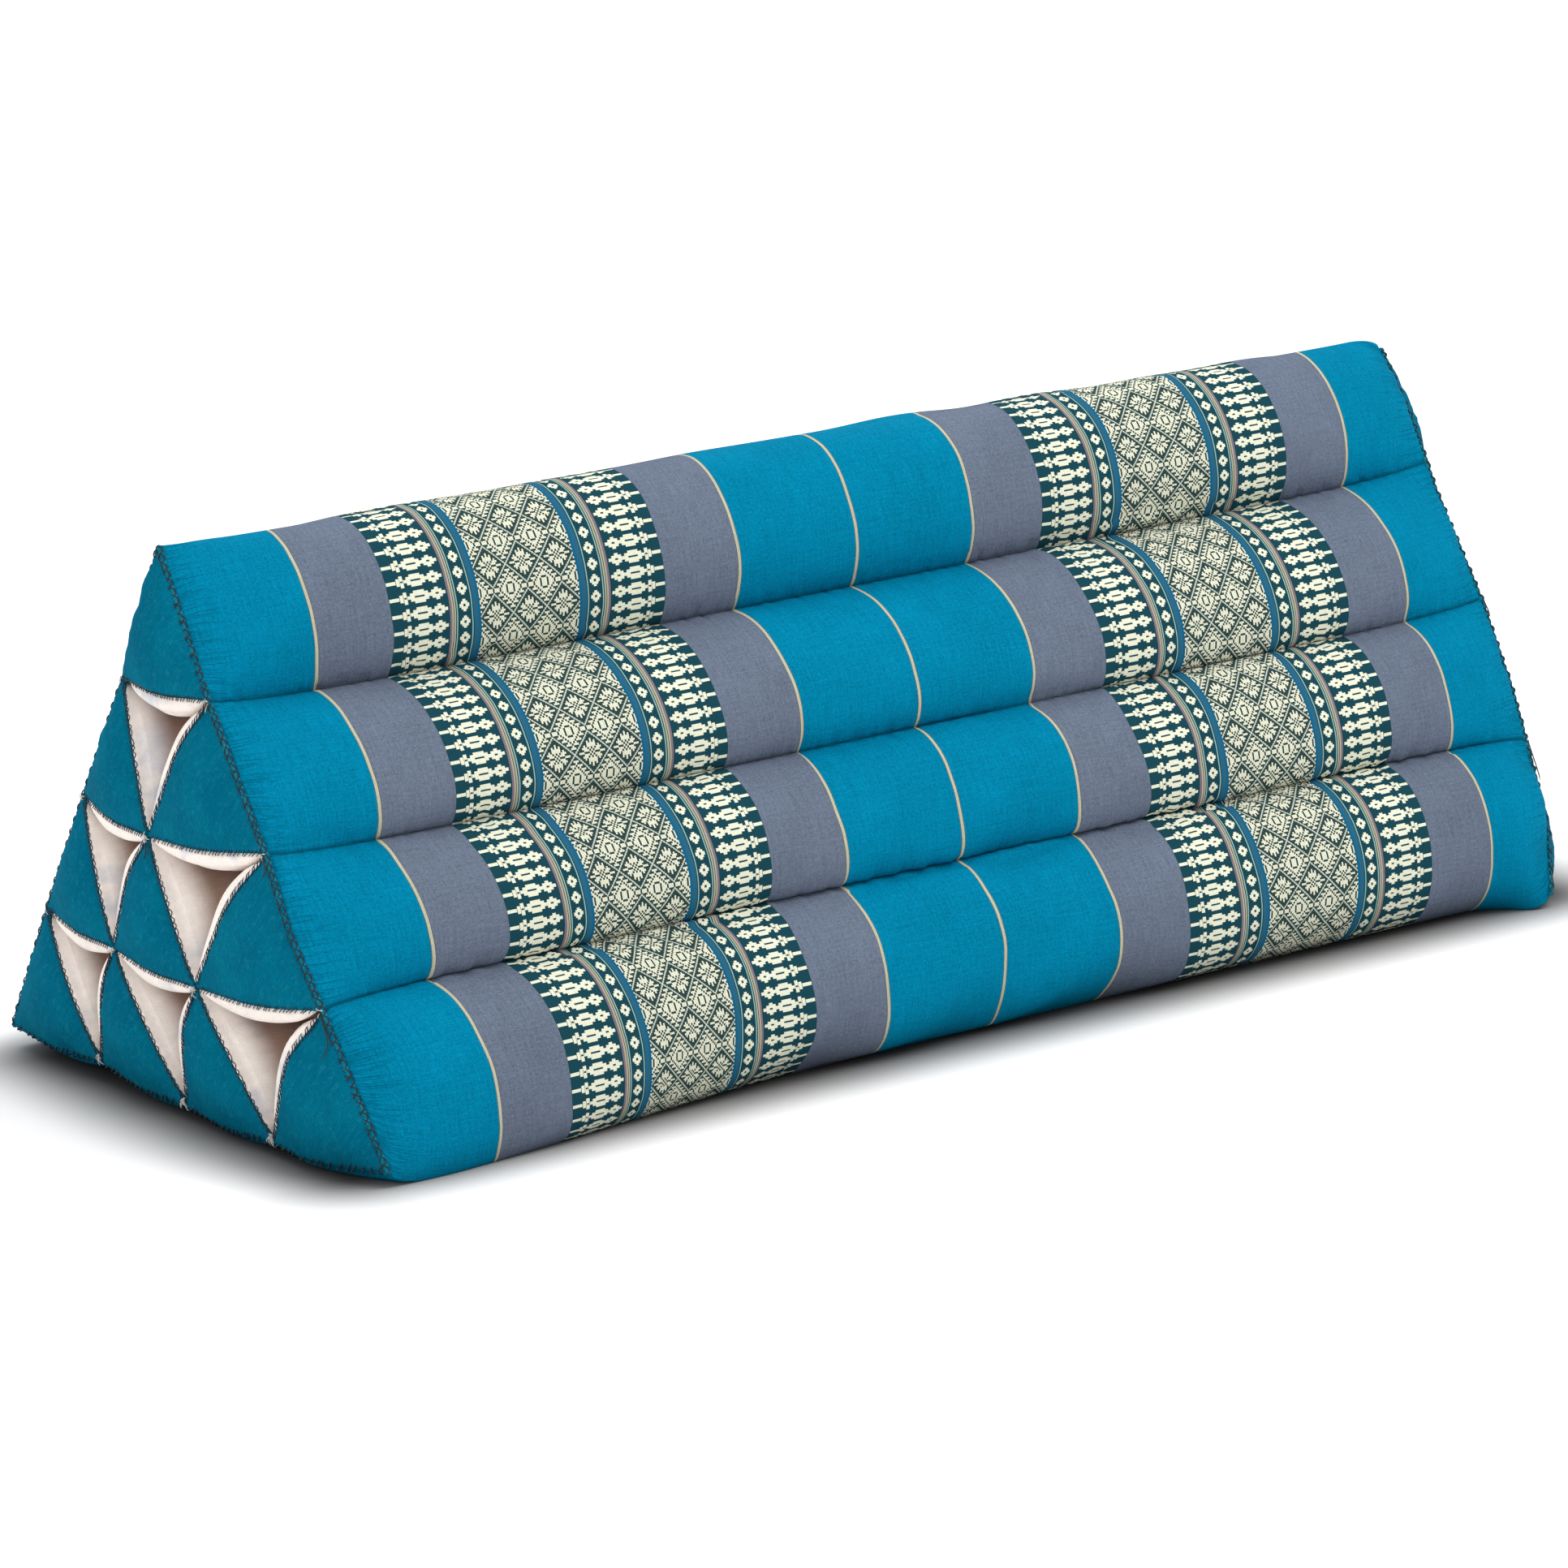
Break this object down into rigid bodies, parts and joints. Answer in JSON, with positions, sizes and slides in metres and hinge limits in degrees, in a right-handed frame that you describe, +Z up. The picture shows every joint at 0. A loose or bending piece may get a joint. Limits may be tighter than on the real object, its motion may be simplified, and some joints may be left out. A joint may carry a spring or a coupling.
{
  "type": "thai triangle cushion",
  "caption": "Long triangular floor cushion of stuffed tubes under a woven cover, with drawn-in channels and open hollows from end to end.",
  "frame": {"origin": "on the floor, under the middle of the base", "axes": "+X along the cushion, -Y out of the front slope, +Z up towards the ridge"},
  "size_m": [0.8138, 0.3208, 0.2819],
  "materials": {
    "cover cloth": "woven cotton, fine twill, matt with a faint sheen",
    "inner cotton": "undyed plain cotton, matt",
    "cap cotton": "dyed cotton, fine twill, matt"
  },
  "bodies": {
    "root": {"cover_front": "cover cloth", "cover_base": "cover cloth", "cover_back": "cover cloth", "tube_1_1": "inner cotton", "tube_2_1": "inner cotton", "tube_2_2": "inner cotton", "tube_3_1": "inner cotton", "tube_3_2": "inner cotton", "tube_3_3": "inner cotton", "tube_4_1": "inner cotton", "tube_4_2": "inner cotton", "tube_4_3": "inner cotton", "tube_4_4": "inner cotton", "cap_left_1_1": "cap cotton", "cap_left_2_1": "cap cotton", "cap_left_2_2": "cap cotton", "cap_left_3_1": "cap cotton", "cap_left_3_2": "cap cotton", "cap_left_3_3": "cap cotton", "cap_left_4_1": "cap cotton", "cap_left_4_2": "cap cotton", "cap_left_4_3": "cap cotton", "cap_left_4_4": "cap cotton", "cap_right_1_1": "cap cotton", "cap_right_2_1": "cap cotton", "cap_right_2_2": "cap cotton", "cap_right_3_1": "cap cotton", "cap_right_3_2": "cap cotton", "cap_right_3_3": "cap cotton", "cap_right_4_1": "cap cotton", "cap_right_4_2": "cap cotton", "cap_right_4_3": "cap cotton", "cap_right_4_4": "cap cotton"}
  },
  "joints": []
}
